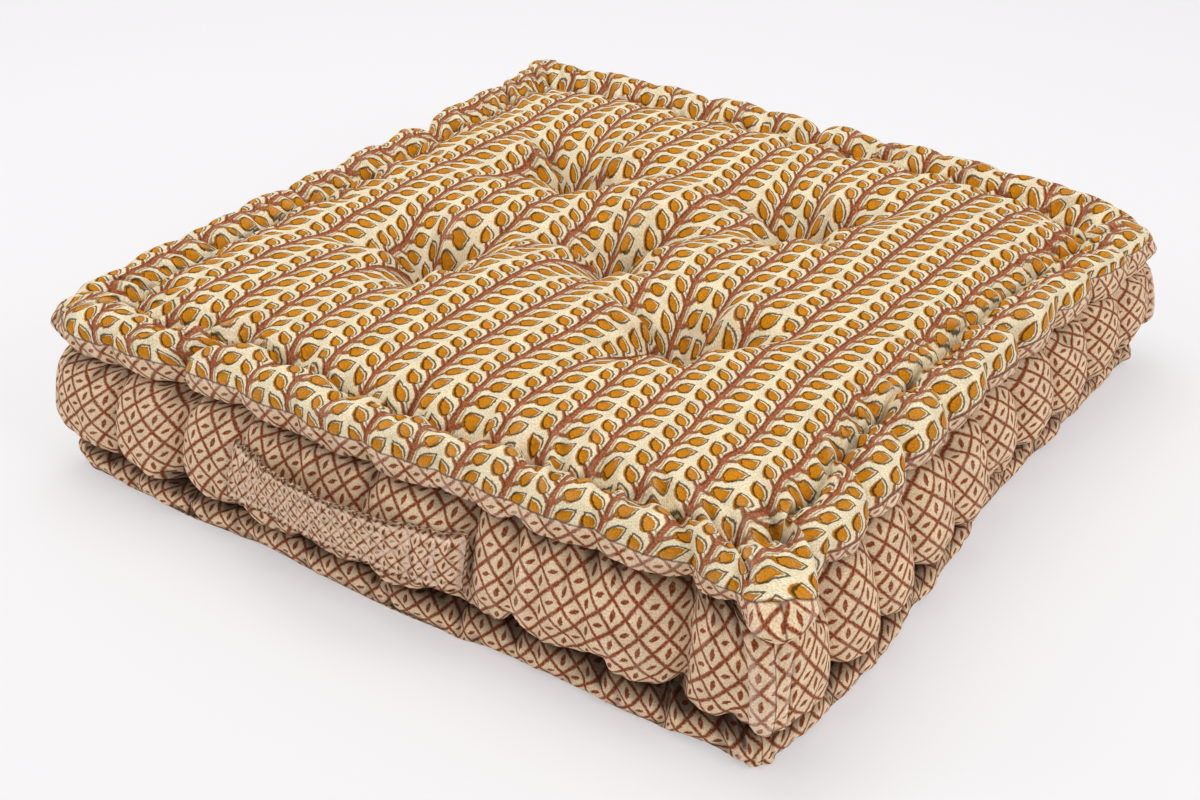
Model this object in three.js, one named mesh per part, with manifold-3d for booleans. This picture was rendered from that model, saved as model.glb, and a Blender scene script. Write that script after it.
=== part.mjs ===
// Square floor cushion with hand-sewn edge rolls, five tufts and a strap handle on its front side.
// Millimetres, +Z up. The origin is on the surface it rests on, under the middle of the cushion.
// The handle is on the front side, which faces -Y.
import * as THREE from "three";
import { mergeVertices } from "three/addons/utils/BufferGeometryUtils.js";
import Module from "manifold-3d";

const wasm = await Module();
wasm.setup();

// Driving sizes of the cushion
const SIDE = 600;
const HALF = SIDE / 2;
const CORNER_ROUND = 16;
const STITCH_GAPS = 10;
const STITCH_PITCH = 57;
const FIRST_STITCH = (-STITCH_GAPS * STITCH_PITCH) / 2;
const STITCH_SHARPNESS = 4;
const COLUMNS_PER_GAP = 3;
const SEAT_GAP = 0.3;
const MERGE_WITHIN = 1e-4;

// The crown of the top panel rises from the sewn groove to full height over its ease
const CROWN = { rise: 29, ease: 24 };
// The base panel has a shallow dimple under each tuft
const BASE = { dimple: 7, reach: 14, limit: 42 };
// Towards the middle of a panel, the unevenness of its edge dies away first and its stitches at once
const EDGE_FADE = 6;
const STITCH_FADE = 20;

// Section through one edge, from the groove in the top panel round to the groove in the base panel.
// inset: in from the outer line; height: above the floor; pull: drawn in at a stitch;
// dip: drawn down at a stitch; fold: share of a deep fold that reaches this line;
// corner: how much further out it stands at a corner; level: 1 follows the line of the top roll,
// 0 that of the base roll.
const SECTION = [
  { line: "top groove", inset: 40, height: 118, pull: 0, dip: 4, fold: 0, corner: 0, level: 1 },
  { line: "roll inner shoulder", inset: 30, height: 134, pull: 1, dip: 4, fold: 0, corner: 2, level: 1 },
  { line: "roll crown", inset: 19, height: 139, pull: 0, dip: 4, fold: 0, corner: 3, level: 1 },
  { line: "roll outer shoulder", inset: 8, height: 136, pull: 1, dip: 3, fold: 0, corner: 4, level: 1 },
  { line: "panel seam", inset: 2, height: 128, pull: 1.5, dip: 1, fold: 0.1, corner: 4, level: 1 },
  { line: "roll front", inset: 0, height: 118, pull: 2, dip: -2, fold: 0.2, corner: 4, level: 1 },
  { line: "roll underside", inset: 7, height: 106, pull: 2, dip: -5, fold: 0.3, corner: 7, level: 1 },
  { line: "upper crease", inset: 25, height: 101, pull: 4, dip: -3, fold: 0.4, corner: 17, level: 0.9 },
  { line: "side upper flank", inset: 16, height: 92, pull: 5, dip: -1, fold: 0.9, corner: 16, level: 0.8 },
  { line: "side shoulder", inset: 7, height: 80, pull: 4, dip: 0, fold: 1, corner: 13, level: 0.7 },
  { line: "side middle", inset: 3, height: 62, pull: 2.5, dip: 0, fold: 0.9, corner: 11, level: 0.5 },
  { line: "side lower", inset: 4, height: 45, pull: 3, dip: 0, fold: 0.7, corner: 11, level: 0.3 },
  { line: "side lower flank", inset: 9, height: 33, pull: 3, dip: -4, fold: 0.4, corner: 12, level: 0.2 },
  { line: "lower crease", inset: 23, height: 28, pull: 3, dip: -2, fold: 0.2, corner: 13, level: 0.1 },
  { line: "base roll top", inset: 11, height: 25, pull: 2, dip: 2, fold: 0.2, corner: 7, level: 0 },
  { line: "base roll front", inset: 3, height: 14, pull: 2, dip: 0, fold: 0.1, corner: 5, level: 0 },
  { line: "base roll foot", inset: 7, height: 4, pull: 1.5, dip: 0, fold: 0, corner: 4, level: 0 },
  { line: "base roll rest", inset: 16, height: 0, pull: 0, dip: 0, fold: 0, corner: 2, level: 0 },
  { line: "base groove", inset: 31, height: 5, pull: 0, dip: -2, fold: 0, corner: 0, level: 0 },
];
const LAST_LINE = SECTION.length - 1;

// How far the corner's own shape reaches along each side
const CORNER_REACH = 26;
// Lines at least this near to the top roll are lifted with it
const LIFTED_LEVEL = 0.7;

// How far each edge stands out of the true square, walking round from the front left corner.
// at: from the middle of that side, in the direction of the walk; top, base: at each roll;
// lift: how far the top roll stands above its own height.
const EDGE_LINE = [
  { side: 0, at: -300, top: -1, base: -2, lift: 1 },
  { side: 0, at: -240, top: 2, base: 0, lift: 0 },
  { side: 0, at: -140, top: -8, base: 1, lift: 0 },
  { side: 0, at: -30, top: -1, base: 2, lift: 0 },
  { side: 0, at: 100, top: -2, base: 1, lift: 0 },
  { side: 0, at: 225, top: -4, base: 1, lift: 0 },
  { side: 1, at: -300, top: 7, base: -3, lift: 0 },
  { side: 1, at: -235, top: 0, base: 5, lift: 0 },
  { side: 1, at: -120, top: -8, base: 5, lift: 0 },
  { side: 1, at: 20, top: -10, base: -1, lift: 0 },
  { side: 1, at: 140, top: -5, base: 1, lift: 0 },
  { side: 1, at: 240, top: 3, base: 0, lift: -4 },
  { side: 2, at: -300, top: 2, base: -3, lift: -10 },
  { side: 2, at: -210, top: 6, base: 1, lift: 0 },
  { side: 2, at: 0, top: 9, base: 2, lift: 1 },
  { side: 2, at: 200, top: 5, base: 2, lift: 1 },
  { side: 3, at: -300, top: 3, base: 0, lift: 0 },
  { side: 3, at: -150, top: -3, base: -2, lift: 0 },
  { side: 3, at: 0, top: -1, base: 0, lift: 0 },
  { side: 3, at: 160, top: 4, base: 1, lift: 1 },
];

// Deep folds that run down the sides from a stitch, and the shallow hollow behind the handle
const SIDE_FOLDS = [
  { side: 0, at: -171, depth: 9, width: 17 },
  { side: 0, at: -29, depth: 4, width: 60 },
  { side: 0, at: 76, depth: 9, width: 17 },
  { side: 0, at: 228, depth: 7, width: 17 },
  { side: 1, at: -228, depth: 6, width: 17 },
  { side: 1, at: -114, depth: 6, width: 17 },
  { side: 1, at: 57, depth: 5, width: 17 },
  { side: 1, at: 171, depth: 6, width: 17 },
  { side: 2, at: -171, depth: 6, width: 17 },
  { side: 2, at: 0, depth: 7, width: 17 },
  { side: 2, at: 171, depth: 6, width: 17 },
  { side: 3, at: -114, depth: 7, width: 17 },
  { side: 3, at: 114, depth: 6, width: 17 },
];

// The five tufts, tied through the cushion. reach: how far the pit spreads before it fades.
const TUFTS = [
  { x: -24, y: 10, depth: 27, reach: 30 },
  { x: -130, y: 110, depth: 30, reach: 30 },
  { x: 74, y: 125, depth: 30, reach: 30 },
  { x: -130, y: -78, depth: 31, reach: 30 },
  { x: 95, y: -78, depth: 31, reach: 30 },
];

// The strap handle: its ends are sewn flat to the side, and its middle stands off and sags.
// lift: the share of the bow by which the strap has left the side; sink: how far its sewn ends
// press in, before the cushion is cut away from them.
const HANDLE = {
  from: -118,
  to: 74,
  width: 38,
  thickness: 4.5,
  leftPatch: 23,
  rightPatch: 38,
  leftHeight: 63,
  rightHeight: 64,
  sag: 3,
  standOff: 9,
  lift: 0.35,
  sink: 0.8,
};
const HANDLE_STEPS = 40;
const HANDLE_STRIPS = 4;

// Columns of the mesh: three to each gap between stitches, and one more out to each corner
function columnStations() {
  const stations = [-HALF];
  const count = STITCH_GAPS * COLUMNS_PER_GAP;
  for (let i = 0; i <= count; i += 1) {
    stations.push(FIRST_STITCH + (i * STITCH_PITCH) / COLUMNS_PER_GAP);
  }
  stations.push(HALF);
  return stations;
}

const STATIONS = columnStations();
const COLUMNS = STATIONS.length - 1;

// 1 at a stitch, 0 half way between two
function stitchPull(at) {
  const cycle = Math.cos((Math.PI * (at - FIRST_STITCH)) / STITCH_PITCH);
  return cycle ** STITCH_SHARPNESS;
}

// 1 at a corner, fading along the sides
function cornerShare(at) {
  return Math.exp(-(((HALF - Math.abs(at)) / CORNER_REACH) ** 2));
}

// A value of the edge line at a place on the walk round the cushion, eased between its rows
function edgeLine(side, at, column) {
  const walk = side * SIDE + at + HALF;
  const place = (row) => row.side * SIDE + row.at + HALF;
  let next = EDGE_LINE.findIndex((row) => place(row) > walk);
  if (next < 0) next = EDGE_LINE.length;
  const before = EDGE_LINE[next - 1];
  const after = EDGE_LINE[next % EDGE_LINE.length];
  const end = next === EDGE_LINE.length ? 4 * SIDE : place(after);
  const share = THREE.MathUtils.smoothstep(walk, place(before), end);
  return THREE.MathUtils.lerp(before[column], after[column], share);
}

function foldDepth(side, at) {
  let depth = 0;
  for (const fold of SIDE_FOLDS) {
    if (fold.side === side) depth += fold.depth * Math.exp(-(((at - fold.at) / fold.width) ** 2));
  }
  return depth;
}

// Which side a place on the square belongs to, how far along it lies, and its outward direction.
// u and v run from -1 to 1 across the square.
function sidePlace(u, v) {
  const across = Math.max(Math.abs(u), Math.abs(v), 1e-9);
  const alongX = Math.abs(v) >= Math.abs(u);
  const side = alongX ? (v < 0 ? 0 : 2) : u > 0 ? 1 : 3;
  const along = (alongX ? u : v) / across;
  const turn = side === 0 || side === 1 ? 1 : -1;
  return { across, alongX, side, at: along * turn * HALF, along };
}

// A point of a square outline with rounded corners, and the outward direction there
function onOutline(place, u, v, half, round) {
  const reach = half * place.across;
  const radius = round * place.across;
  const past = Math.abs(place.along) * reach - (reach - radius);
  const angle = past > 0 ? (past / radius) * (Math.PI / 4) : 0;
  const far = reach - radius + radius * Math.cos(angle);
  const near = past > 0 ? reach - radius + radius * Math.sin(angle) : Math.abs(place.along) * reach;
  const [x, y] = place.alongX ? [near, far] : [far, near];
  const [nx, ny] = place.alongX ? [Math.sin(angle), Math.cos(angle)] : [Math.cos(angle), Math.sin(angle)];
  const signX = Math.sign(u) || 1;
  const signY = Math.sign(v) || 1;
  return { x: x * signX, y: y * signY, nx: nx * signX, ny: ny * signY };
}

// A point of one line of the edge section
function edgePoint(u, v, line) {
  const row = SECTION[line];
  const place = sidePlace(u, v);
  const stitch = stitchPull(place.at);
  const outline = onOutline(place, u, v, HALF - row.inset, CORNER_ROUND);
  const top = edgeLine(place.side, place.at, "top");
  const base = edgeLine(place.side, place.at, "base");
  const stand = THREE.MathUtils.lerp(base, top, row.level);
  const drawnIn = row.pull * stitch + row.fold * foldDepth(place.side, place.at);
  const out = stand - drawnIn + row.corner * cornerShare(place.at);
  const lifted = THREE.MathUtils.smoothstep(row.level, LIFTED_LEVEL, 1);
  const lift = edgeLine(place.side, place.at, "lift") * lifted;
  const z = Math.max(0, row.height - row.dip * stitch + lift);
  return new THREE.Vector3(outline.x + outline.nx * out, outline.y + outline.ny * out, z);
}

// A point of the top or base panel, inside its groove
function panelPoint(u, v, line) {
  const row = SECTION[line];
  const place = sidePlace(u, v);
  const half = HALF - row.inset;
  const outline = onOutline(place, u, v, half, CORNER_ROUND);
  const roll = line === 0 ? "top" : "base";
  const out = edgeLine(place.side, place.at, roll) * place.across ** EDGE_FADE;
  const x = outline.x + outline.nx * out;
  const y = outline.y + outline.ny * out;
  const z = line === 0 ? crownHeight(x, y, half, row, place) : baseHeight(x, y);
  return new THREE.Vector3(x, y, z);
}

function crownHeight(x, y, half, row, place) {
  const rise = (coordinate) => 1 - Math.exp(-Math.max(0, half - Math.abs(coordinate)) / CROWN.ease);
  let z = row.height + CROWN.rise * rise(x) * rise(y);
  z -= row.dip * stitchPull(place.at) * place.across ** STITCH_FADE;
  for (const tuft of TUFTS) {
    z -= tuft.depth * Math.exp(-Math.hypot(x - tuft.x, y - tuft.y) / tuft.reach);
  }
  return z;
}

// The base panel lies flat on the floor, with a shallow dimple under each tuft
function baseHeight(x, y) {
  let z = 0;
  for (const tuft of TUFTS) {
    const away = Math.hypot(x - tuft.x, y - tuft.y);
    if (away < BASE.limit) z += BASE.dimple * Math.exp(-((away / BASE.reach) ** 2));
  }
  return z;
}

// One block whose faces are the top panel, the four sides and the base panel, moved to its form
function cushionGeometry() {
  const block = new THREE.BoxGeometry(2, 2, 2, COLUMNS, COLUMNS, LAST_LINE);
  block.deleteAttribute("normal");
  block.deleteAttribute("uv");
  const geometry = mergeVertices(block, MERGE_WITHIN);
  const position = geometry.attributes.position;
  const step = (value, count) => Math.round(((value + 1) / 2) * count);
  for (let i = 0; i < position.count; i += 1) {
    const u = STATIONS[step(position.getX(i), COLUMNS)] / HALF;
    const v = STATIONS[step(position.getY(i), COLUMNS)] / HALF;
    const line = LAST_LINE - step(position.getZ(i), LAST_LINE);
    const onEdge = Math.max(Math.abs(u), Math.abs(v)) === 1;
    const point = onEdge ? edgePoint(u, v, line) : panelPoint(u, v, line);
    position.setXYZ(i, point.x, point.y, point.z);
  }
  return geometry;
}

// How far forward the front side stands at a given place, between the two creases
function frontSide(x, height) {
  const u = x / HALF;
  const upper = SECTION.findIndex((row) => row.line === "upper crease");
  const lower = SECTION.findIndex((row) => row.line === "lower crease");
  for (let line = upper; line < lower; line += 1) {
    const above = edgePoint(u, -1, line);
    const below = edgePoint(u, -1, line + 1);
    if (height <= above.z && height >= below.z) {
      const share = (above.z - height) / (above.z - below.z);
      return THREE.MathUtils.lerp(above.y, below.y, share);
    }
  }
  throw new Error(`no side at height ${height}`);
}

// The strap is a flat bar bent to the side: its x runs along it, y through it and z across it
function handleGeometry() {
  const { from, to, width, thickness } = HANDLE;
  const bar = new THREE.BoxGeometry(to - from, thickness, width, HANDLE_STEPS, 1, HANDLE_STRIPS);
  bar.deleteAttribute("normal");
  bar.deleteAttribute("uv");
  const geometry = mergeVertices(bar, MERGE_WITHIN);
  const position = geometry.attributes.position;
  const freeFrom = from + HANDLE.leftPatch;
  const freeTo = to - HANDLE.rightPatch;
  const endFrom = frontSide(freeFrom, HANDLE.leftHeight);
  const endTo = frontSide(freeTo, HANDLE.rightHeight);
  for (let i = 0; i < position.count; i += 1) {
    const x = position.getX(i) + (from + to) / 2;
    const free = THREE.MathUtils.clamp((x - freeFrom) / (freeTo - freeFrom), 0, 1);
    const bow = Math.sin(Math.PI * free);
    const middle = THREE.MathUtils.lerp(HANDLE.leftHeight, HANDLE.rightHeight, (x - from) / (to - from));
    const height = middle - HANDLE.sag * bow;
    const across = position.getZ(i);
    const patch = frontSide(x, height + across) + HANDLE.sink;
    const span = THREE.MathUtils.lerp(endFrom, endTo, free) - HANDLE.standOff * bow;
    const back = THREE.MathUtils.lerp(patch, span, THREE.MathUtils.smoothstep(bow, 0, HANDLE.lift));
    const out = position.getY(i) < 0 ? thickness : 0;
    position.setXYZ(i, x, back - out, height + across);
  }
  return geometry;
}

function toSolid(geometry) {
  const position = geometry.attributes.position;
  const vertProperties = new Float32Array(position.array);
  const triVerts = new Uint32Array(geometry.index.array);
  return new wasm.Manifold(new wasm.Mesh({ numProp: 3, vertProperties, triVerts }));
}

function toGeometry(solid) {
  const { vertProperties, triVerts } = solid.getMesh();
  const geometry = new THREE.BufferGeometry();
  geometry.setAttribute("position", new THREE.BufferAttribute(vertProperties, 3));
  geometry.setIndex(new THREE.BufferAttribute(triVerts, 1));
  geometry.computeVertexNormals();
  return geometry;
}

// A copy that stands out from the surface by a small gap, to cut the strap clear of the cushion
function grown(geometry, gap) {
  const copy = geometry.clone();
  copy.computeVertexNormals();
  const { position, normal } = copy.attributes;
  for (let i = 0; i < position.count; i += 1) {
    position.setXYZ(
      i,
      position.getX(i) + normal.getX(i) * gap,
      position.getY(i) + normal.getY(i) * gap,
      position.getZ(i) + normal.getZ(i) * gap,
    );
  }
  return copy;
}

const cushionForm = cushionGeometry();
const handleForm = toSolid(handleGeometry()).subtract(toSolid(grown(cushionForm, SEAT_GAP)));
cushionForm.computeVertexNormals();

const velvet = new THREE.MeshStandardMaterial({ color: "#cbb083", roughness: 0.9, metalness: 0 });
const strapVelvet = new THREE.MeshStandardMaterial({ color: "#cfae98", roughness: 0.9, metalness: 0 });

const cushion = new THREE.Mesh(cushionForm, velvet);
cushion.name = "cushion";

const handle = new THREE.Mesh(toGeometry(handleForm), strapVelvet);
handle.name = "handle";

const group = new THREE.Group();
group.add(cushion, handle);

export default group;
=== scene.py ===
"""Square block-printed floor cushion: a stuffed velvet cover, its strap handle and a studio stage.

Sizes in the tables are in millimetres, and Blender's units are metres. The handle faces -Y.
"""

import math
from collections import namedtuple

import bmesh
import bpy
from mathutils import Matrix, Vector, noise
from mathutils.bvhtree import BVHTree


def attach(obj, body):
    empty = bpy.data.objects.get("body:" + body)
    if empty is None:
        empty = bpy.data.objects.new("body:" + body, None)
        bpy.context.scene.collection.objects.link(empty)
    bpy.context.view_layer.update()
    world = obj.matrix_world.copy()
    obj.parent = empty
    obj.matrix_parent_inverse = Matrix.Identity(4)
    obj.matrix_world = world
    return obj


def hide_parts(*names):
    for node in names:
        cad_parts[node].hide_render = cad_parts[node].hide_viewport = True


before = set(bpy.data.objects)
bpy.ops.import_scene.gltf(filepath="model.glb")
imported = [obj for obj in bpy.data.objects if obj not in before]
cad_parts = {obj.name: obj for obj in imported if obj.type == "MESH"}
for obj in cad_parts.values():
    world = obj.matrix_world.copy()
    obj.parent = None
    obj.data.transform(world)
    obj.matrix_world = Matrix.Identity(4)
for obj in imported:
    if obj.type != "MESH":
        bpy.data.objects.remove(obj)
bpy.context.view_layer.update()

bl_info = {
    "name": "Floor Cushion",
    "version": (1, 0, 0),
    "blender": (4, 5, 0),
    "location": "View3D > Sidebar > Floor Cushion",
    "description": "Builds a square stuffed floor cushion with edge rolls, tufts and a strap handle",
    "category": "Object",
}

MM = 0.001

# Driving sizes of the cover: its outline, and the stitches that gather the rolls along each side
SIDE = 600
HALF = SIDE / 2
CORNER_ROUND = 16
STITCH_GAPS = 10
STITCH_PITCH = 57
FIRST_STITCH = -STITCH_GAPS * STITCH_PITCH / 2
STITCH_STEP = 2.5
# How far round a corner it draws the edge out, its ear stands, and the sides are one full lobe
CORNER_REACH = 26
EAR_REACH = 17
CORNER_LOBE = 40
# Lines of the section above this level are lifted and folded with the top roll
LIFTED_LEVEL = 0.7
# How fast the edge line, its stitches and its ripple fade across a panel: powers of the way out
EDGE_FADE = 6
STITCH_FADE = 20
RIPPLE_FADE = 9
# The crown: its rise, and how far in from its groove it takes to rise, on average, between two
# stitches and at one
CROWN_RISE = 15
CROWN_EASE = 24
CROWN_EASE_BETWEEN = 12
CROWN_EASE_STITCH = 26
# The small upright wrinkles of gathered cloth, and the crumpled cloth at a corner
GATHER_SPACING = 8
GATHER_LENGTH = 45
EDGE_RIPPLE = 0.3
CORNER_CRUMPLE = -4
CRUMPLE_SIZE = 10
BASE_SEAM_HEIGHT = 28
# Lumps of stuffing in the crown, by size and depth; the valleys between its tufts; and the dimples
# that the tufts make in the base
LUMPS = [(70, 2.4), (30, 0.5)]
VALLEY_DEPTH = 8
VALLEY_HALF = 26
BASE_DIMPLE = 7
BASE_DIMPLE_REACH = 14
# From here out, a place on the square from 0 to 1 is its edge
EDGE_STARTS = 1 - 1e-6

# The mesh: columns between two stitches and out to a corner, and rows between two lines of the section
COLUMNS_PER_GAP = 12
CORNER_COLUMNS = 6
ROWS_PER_LINE = 3

# Section through one edge, from the groove in the top panel round to the groove in the base panel.
# inset: in from the outer line; height: above the floor; pull: drawn in at a stitch;
# dip: drawn down at a stitch; fold: share of a deep fold that reaches this line;
# corner: how much further out it stands at a corner; ear: share of a corner's own ear and droop;
# gather: depth of the small upright wrinkles; level: 1 follows the line of the top roll, 0 that of
# the base roll; shade: how much darker the velvet is painted here, as painted shade where it lies out of
# the light, and as unrubbed pile out of all wear.
Line = namedtuple("Line", "name inset height pull dip fold corner ear gather level shade")
SECTION = [
    Line("top groove", 38, 128, 0, 20, 0, 0, 0, 0.6, 1, 0.08),
    Line("roll inner shoulder", 31, 134, 1, 13, 0, 1, 0, 1.1, 1, 0),
    Line("roll crown", 20, 137.5, 0, 5, 0, 2, 0, 0.6, 1, 0),
    Line("roll outer shoulder", 8, 135, 1, 2, 0.1, 3, 0, 0.6, 1, 0),
    Line("panel seam", 1, 128, 2, 1, 0.3, 4, 0.5, 0.9, 1, 0),
    Line("roll front", -2, 117, 3, -1, 0.3, 5, 0.8, 0.8, 1, 0.05),
    Line("roll underside", 4, 105, 4, -4, 0.3, 7, 0.3, 1.2, 1, 0.6),
    Line("upper crease", 27, 104, 3, -3, 0.2, 17, 0, 1.2, 0.9, 1),
    Line("side upper flank", 8, 97, 8, -1, 0.9, 6, 0, 1.6, 0.8, 0.6),
    Line("side shoulder", -1, 84, 5, 0, 1, 3, 0, 0.9, 0.7, 0.05),
    Line("side middle", -5, 64, 3, 0, 1, 2, 0, 0.5, 0.5, 0),
    Line("side lower", -5, 46, 4, -3, 0.9, 3, 0, 0.8, 0.3, 0.05),
    Line("side lower flank", 2, 33, 7, -8, 0.6, 4, 0, 1.9, 0.2, 0.7),
    Line("lower crease", 23, 27, 4, -8, 0.2, 8, 0, 1.2, 0.1, 1),
    Line("base roll top", 9, 23, 4, 1, 0.2, 8, 0, 1.2, 0, 1.1),
    Line("base roll front", 4, 13, 3, 0, 0.1, 5, 0, 0.9, 0, 0.3),
    Line("base roll foot", 8, 4, 1.5, 0, 0, 4, 0, 0.4, 0, 0.9),
    Line("base roll rest", 16, 0, 0, 0, 0, 2, 0, 0, 0, 0.8),
    Line("base groove", 31, 5, 0, -2, 0, 0, 0, 0, 0, 0.3),
]
LAST_LINE = len(SECTION) - 1
LINE = {row.name: place for place, row in enumerate(SECTION)}
TOP_SEAM = LINE["panel seam"]
BASE_SEAM = LINE["base roll foot"]


def by_side(kind, *sides):
    """The rows of a table that lists the four sides one after another."""
    return [kind(side, *row) for side, rows in enumerate(sides) for row in rows]


# How far each edge stands out of the true square, walking round from the front left corner.
# at: from the middle of that side, in the direction of the walk; top, base: at each roll;
# lift: how far the top roll stands above its own height.
Edge = namedtuple("Edge", "side at top base lift")
EDGE_LINE = by_side(
    Edge,
    [(-300, -1, -1, 1), (-240, 2, 5, 0), (-175, -5, 9, 0), (-140, -8, 6, 0), (-30, -1, 10, 0),
     (44, -1, 12, 0), (100, -2, 5, 0), (225, -4, 8, 0), (262, -2, 4, 0)],
    [(-300, 7, 0, 0), (-235, 0, 6, 0), (-180, -4, 9, 0), (-120, -8, 5, 0), (-30, -9, 1, 0),
     (20, -10, -7, 0), (83, -8, -6, 0), (140, -5, -2, 0), (240, 3, -4, -6)],
    [(-300, 2, -3, -13), (-210, 6, 1, -3), (0, 9, 2, 1), (200, 5, 2, 1)],
    [(-300, 3, 0, 0), (-150, -3, -2, 0), (0, -1, 0, 0), (160, 4, 1, 1)],
)

# Deep folds that run down the sides from a stitch, and the shallow hollow behind the handle
Fold = namedtuple("Fold", "side at depth width")
SIDE_FOLDS = by_side(
    Fold,
    [(-228, 7, 12), (-171, 18, 18), (-114, 5, 8), (-29, 4, 60), (76, 18, 19), (133, 4, 10),
     (228, 17, 19)],
    [(-228, 19, 17), (-171, 14, 16), (-114, 20, 18), (-57, 14, 16), (0, 18, 17), (57, 19, 18),
     (114, 14, 16), (171, 20, 18), (228, 12, 15)],
    [(-228, 10, 14), (-171, 18, 18), (-57, 12, 16), (0, 19, 18), (57, 10, 14), (114, 13, 16),
     (171, 17, 18)],
    [(-228, 12, 16), (-114, 19, 18), (-57, 10, 14), (0, 12, 16), (114, 18, 18), (171, 10, 14),
     (228, 14, 16)],
)

# A fold reaches this many times its width to each side; LOBE_ROUND: 0 for full lobes, 1 for slack ones
FOLD_REACH = 1.6
LOBE_ROUND = 0.45

# Folds that cross the top roll, besides the small ones at its stitches
ROLL_FOLDS = by_side(
    Fold,
    [(-171, 8, 18), (76, 3, 14), (228, 7, 18)],
    [(-250, 15, 15), (-174, 6, 14), (-112, 9, 15), (-52, 7, 14), (56, 10, 15), (132, 5, 14)],
    [(0, 5, 16)],
    [(-114, 5, 16)],
)

# Corners on the walk from the front left one. ear: how far the end of the roll stands out;
# droop: how far it hangs; top and base: how far the corner of each roll is pushed along X and Y.
Corner = namedtuple("Corner", "ear droop top base")
CORNERS = [
    Corner(0, 0, (7, 7), (2, 2)),
    Corner(14, 3, (-7, 5), (-3, -3)),
    Corner(0, 2, (-9, -8), (-2, -2)),
    Corner(4, 1, (0, 0), (3, -2)),
]

# The five tufts, tied through the cushion. turn: which way their folds run.
Tuft = namedtuple("Tuft", "x y depth turn")
TUFTS = [
    Tuft(-24, 10, 48, 0.3),
    Tuft(-130, 110, 54, 1.1),
    Tuft(74, 125, 54, 0.6),
    Tuft(-130, -78, 54, 0.2),
    Tuft(95, -78, 58, 0.9),
]
# A pit: how far its cone and its hollow reach, and where it ends; the cone's share; and the folds
# that run out of it, by number and share
PIT_REACH = 18
PIT_SPREAD = 44
PIT_END = 4 * PIT_SPREAD
PIT_SHARE = 0.62
PIT_FOLDS = [(3, 0.26), (5, 0.22), (8, 0.1)]


def linear(hex_colour):
    """A hex sRGB colour as linear red, green, blue and alpha."""
    parts = [int(hex_colour[i : i + 2], 16) / 255 for i in (1, 3, 5)]
    return [p / 12.92 if p <= 0.04045 else ((p + 0.055) / 1.055) ** 2.4 for p in parts] + [1.0]


def eased(value, low, high):
    """0 below low, 1 above high and smooth between them."""
    share = min(1.0, max(0.0, (value - low) / (high - low)))
    return share * share * (3 - 2 * share)


def mixed(first, second, share):
    return first + (second - first) * share


# ---- the cover's form -------------------------------------------------------------------------


def stations():
    """Where the columns stand along a side, from -HALF to HALF."""
    corner = HALF + FIRST_STITCH
    left = [-HALF + corner * i / CORNER_COLUMNS for i in range(CORNER_COLUMNS)]
    count = STITCH_GAPS * COLUMNS_PER_GAP
    middle = [FIRST_STITCH + STITCH_PITCH * i / COLUMNS_PER_GAP for i in range(count + 1)]
    return left + middle + [-value for value in reversed(left)]


STATIONS = stations()
COLUMNS = len(STATIONS) - 1
ROWS = LAST_LINE * ROWS_PER_LINE


def section_at(line):
    """The section between its lines, on a smooth curve through them."""
    before = min(int(line), LAST_LINE - 1)
    share = line - before
    rows = [SECTION[min(max(before + step, 0), LAST_LINE)] for step in (-1, 0, 1, 2)]
    values = {}
    for column in Line._fields[1:]:
        a, b, c, d = (getattr(row, column) for row in rows)
        curve = 2 * b + (c - a) * share + (2 * a - 5 * b + 4 * c - d) * share**2
        values[column] = (curve + (3 * b - a - 3 * c + d) * share**3) / 2
    return values


SECTION_ROWS = [section_at(row / ROWS_PER_LINE) for row in range(ROWS + 1)]


def lengths_down():
    """Length of cloth from the top groove down to each row of the section."""
    lengths = [0.0]
    for above, below in zip(SECTION_ROWS, SECTION_ROWS[1:]):
        step = math.hypot(below["inset"] - above["inset"], below["height"] - above["height"])
        lengths.append(lengths[-1] + step)
    return lengths


DOWN = lengths_down()

# How far the panel seam has turned down round the top roll, in lines of the section: from the start
# to the end of each side, with the change between two places along it, and at a corner
SEAM_TURNS = [(0.65, 0.65), (0.95, 0.1), (0.4, 0.4), (0.4, 0.5)]
TURN_CHANGE = (60, 240)
CORNER_SEAM_TURN = -0.25
SEAM_TURN_REACH = 20


def turned_line(place, row):
    """Where a row lies on the section, once the cloth of the top roll has turned with its seam."""
    line = row / ROWS_PER_LINE
    share = eased(line, 0, TOP_SEAM) * eased(line, LINE["upper crease"], TOP_SEAM)
    turn = mixed(*SEAM_TURNS[place.side], eased(place.at, *TURN_CHANGE))
    return line + share * mixed(turn, CORNER_SEAM_TURN, corner_share(place.at, SEAM_TURN_REACH))


def down_at(place, row):
    """Length of cloth down to a row of the section at a place on the edge."""
    at = turned_line(place, row) * ROWS_PER_LINE
    before = min(int(at), ROWS - 1)
    return mixed(DOWN[before], DOWN[before + 1], at - before)


def puffed(away, width):
    """1 in a crease and 0 beyond width, with the round edge of a stuffed fold on each side of it."""
    share = max(0.0, 1 - abs(away) / width)
    return 1 - math.sqrt(1 - share * share)


def stitch_pull(at):
    """1 at a stitch, 0 half way between two."""
    number = (at - FIRST_STITCH) / STITCH_PITCH
    return puffed(number - round(number), 0.5)


# Hand sewing is uneven: how its noise steps from stitch to stitch and from side to side, and a seed
UNEVEN_PULL = (1.7, 3.1, 0.4)
UNEVEN_STEP = (2.3, 1.9, 4.2)


def uneven(number, side, steps):
    """How a stitch differs from the usual one, from -1 to 1."""
    return noise.noise((number * steps[0], side * steps[1], steps[2]))


def stitch_strength(side, at):
    """How hard the nearest stitch is drawn."""
    number = round((at - FIRST_STITCH) / STITCH_PITCH)
    return 1 + 0.5 * uneven(number, side, UNEVEN_PULL)


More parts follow.
